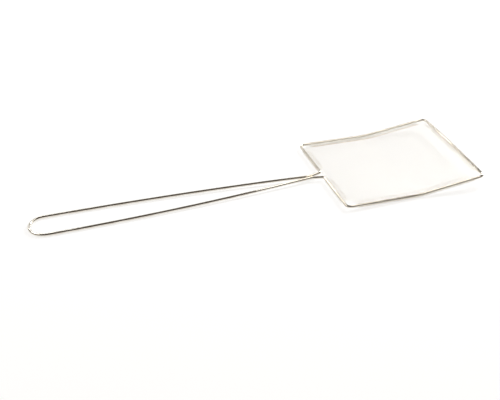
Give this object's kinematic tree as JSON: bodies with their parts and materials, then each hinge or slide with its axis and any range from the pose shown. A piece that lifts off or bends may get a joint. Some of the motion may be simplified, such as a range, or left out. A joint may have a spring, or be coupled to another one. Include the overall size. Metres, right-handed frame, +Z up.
{
  "type": "wire skimmer",
  "caption": "Flat wire skimmer: fine woven wire cloth hemmed round a bent rectangular wire frame, on a long hairpin handle with a loop end.",
  "frame": {"origin": "on the table, under the middle of the skimmer's length and width", "axes": "+X from the handle's loop to the head's front edge, +Y to the left seen from the handle, +Z up"},
  "size_m": [0.5394, 0.1588, 0.0158],
  "materials": {
    "plated_wire": "bright nickel plate on round steel wire",
    "weld": "plated weld bead, slightly dull",
    "wire_cloth": "plated woven steel wire cloth"
  },
  "bodies": {
    "root": {"handle_frame_wire": "plated_wire", "front_butt_weld": "weld", "neck_weld": "weld", "mesh_warp_01": "wire_cloth", "mesh_warp_02": "wire_cloth", "mesh_warp_03": "wire_cloth", "mesh_warp_04": "wire_cloth", "mesh_warp_05": "wire_cloth", "mesh_warp_06": "wire_cloth", "mesh_warp_07": "wire_cloth", "mesh_warp_08": "wire_cloth", "mesh_warp_09": "wire_cloth", "mesh_warp_10": "wire_cloth", "mesh_warp_11": "wire_cloth", "mesh_warp_12": "wire_cloth", "mesh_warp_13": "wire_cloth", "mesh_warp_14": "wire_cloth", "mesh_weft_01": "wire_cloth", "mesh_weft_02": "wire_cloth", "mesh_weft_03": "wire_cloth", "mesh_weft_04": "wire_cloth", "mesh_weft_05": "wire_cloth", "mesh_weft_06": "wire_cloth", "mesh_weft_07": "wire_cloth", "mesh_weft_08": "wire_cloth", "mesh_weft_09": "wire_cloth", "mesh_weft_10": "wire_cloth", "mesh_weft_11": "wire_cloth", "mesh_weft_12": "wire_cloth", "mesh_weft_13": "wire_cloth", "mesh_weft_14": "wire_cloth", "mesh_weft_15": "wire_cloth", "mesh_weft_16": "wire_cloth", "mesh_weft_17": "wire_cloth", "mesh_weft_18": "wire_cloth"}
  },
  "joints": []
}
